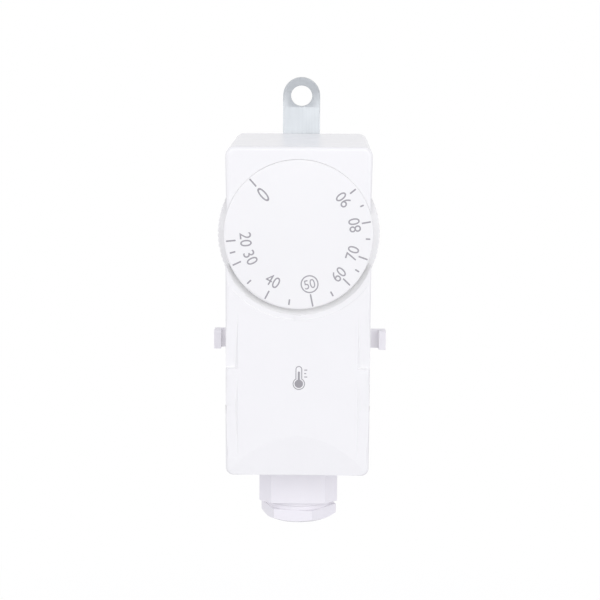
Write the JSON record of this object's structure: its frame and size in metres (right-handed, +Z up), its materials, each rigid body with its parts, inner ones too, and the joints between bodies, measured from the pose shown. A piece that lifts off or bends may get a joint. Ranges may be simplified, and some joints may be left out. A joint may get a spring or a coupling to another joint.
{
  "type": "pipe thermostat",
  "caption": "White strap-on pipe thermostat: a numbered dial under a moulded cover sets a bimetal switch, with a holed steel tongue, strap hooks and a cable gland.",
  "frame": {"origin": "the centre of the flat contact face, where the steel plate on the back lies on the pipe", "axes": "+Z up along the pipe towards the holed tongue, +Y out of the back towards the pipe, the dial faces -Y, +X to the right as seen from the front"},
  "size_m": [0.0496, 0.0483, 0.1255],
  "materials": {
    "cover_plastic": "white moulded ABS, satin gloss",
    "dial_plastic": "white moulded ABS with a printed grey scale",
    "base_plastic": "white moulded nylon, semi-matt",
    "gland_plastic": "white moulded nylon, glossy",
    "zinc_steel": "zinc-plated steel, bluish",
    "bimetal_strip": "bare bimetal strip",
    "spring_steel": "drawn spring steel",
    "spindle_brass": "turned brass",
    "terminal_brass": "pressed brass",
    "nylon": "natural nylon",
    "switch_plastic": "black moulded phenolic",
    "button_plastic": "red moulded nylon",
    "seal_rubber": "black moulded rubber"
  },
  "bodies": {
    "housing": {"cover": "cover_plastic", "base": "base_plastic", "contact_plate": "zinc_steel", "plate_rivets": "zinc_steel", "pivot_pin": "spring_steel", "switch_case": "switch_plastic", "switch_lid": "switch_plastic", "switch_screws": "zinc_steel", "terminal_open": "terminal_brass", "terminal_closed": "terminal_brass", "terminal_common": "terminal_brass", "terminal_screws": "zinc_steel", "earth_terminal": "zinc_steel", "earth_screw": "terminal_brass", "gland_seal": "seal_rubber"},
    "dial": {"dial_knob": "dial_plastic", "spindle": "spindle_brass", "spindle_clip": "spring_steel"},
    "setter": {"setting_nut": "nylon", "range_spring": "spring_steel"},
    "blade": {"bimetal": "bimetal_strip", "bimetal_rivets": "zinc_steel"},
    "pusher": {"pusher_pin": "nylon"},
    "lever": {"rocker_lever": "zinc_steel", "trimming_screw": "spindle_brass"},
    "button": {"switch_button": "button_plastic"},
    "clamp": {"gland_clamp_ring": "gland_plastic"},
    "nut": {"gland_nut": "gland_plastic"}
  },
  "joints": [
    {"name": "dial_turn", "type": "hinge", "parent": "housing", "child": "dial", "pos_m": [0, -0.04, 0.0204], "axis": [0, -1, 0], "range_deg": [-128, 138]},
    {"name": "setting_slide", "type": "slide", "parent": "housing", "child": "setter", "axis": [0, 1, 0], "range_m": [-0.0008, 0.0008], "deforming": ["range_spring"]},
    {"name": "bimetal_bend", "type": "hinge", "parent": "housing", "child": "blade", "pos_m": [0, -0.00125, 0.034], "axis": [-1, 0, 0], "range_deg": [0, 1.2], "stiffness_Nm_per_rad": 2},
    {"name": "pusher_slide", "type": "slide", "parent": "housing", "child": "pusher", "axis": [0, -1, 0], "range_m": [0, 0.00085]},
    {"name": "lever_tilt", "type": "hinge", "parent": "housing", "child": "lever", "pos_m": [0, -0.0116, 0.007], "axis": [-1, 0, 0], "range_deg": [0, 3.8], "deforming": ["range_spring"]},
    {"name": "button_slide", "type": "slide", "parent": "housing", "child": "button", "axis": [0, -1, 0], "range_m": [0, 0.00105]},
    {"name": "clamp_slide", "type": "slide", "parent": "housing", "child": "clamp", "axis": [0, 0, -1], "range_m": [0, 0.0015]},
    {"name": "gland_nut_turn", "type": "hinge", "parent": "clamp", "child": "nut", "pos_m": [0, -0.0126, -0.0608], "axis": [0, 0, -1], "range_deg": [0, 360]}
  ],
  "couplings": [
    {"joint": "setting_slide", "follows": "dial_turn", "m_per_rad": 0.00031831},
    {"joint": "pusher_slide", "follows": "bimetal_bend", "m_per_rad": 0.04},
    {"joint": "lever_tilt", "follows": "bimetal_bend", "ratio": 3.0769},
    {"joint": "button_slide", "follows": "bimetal_bend", "m_per_rad": 0.049231},
    {"joint": "clamp_slide", "follows": "gland_nut_turn", "m_per_rad": 0.00023873}
  ]
}
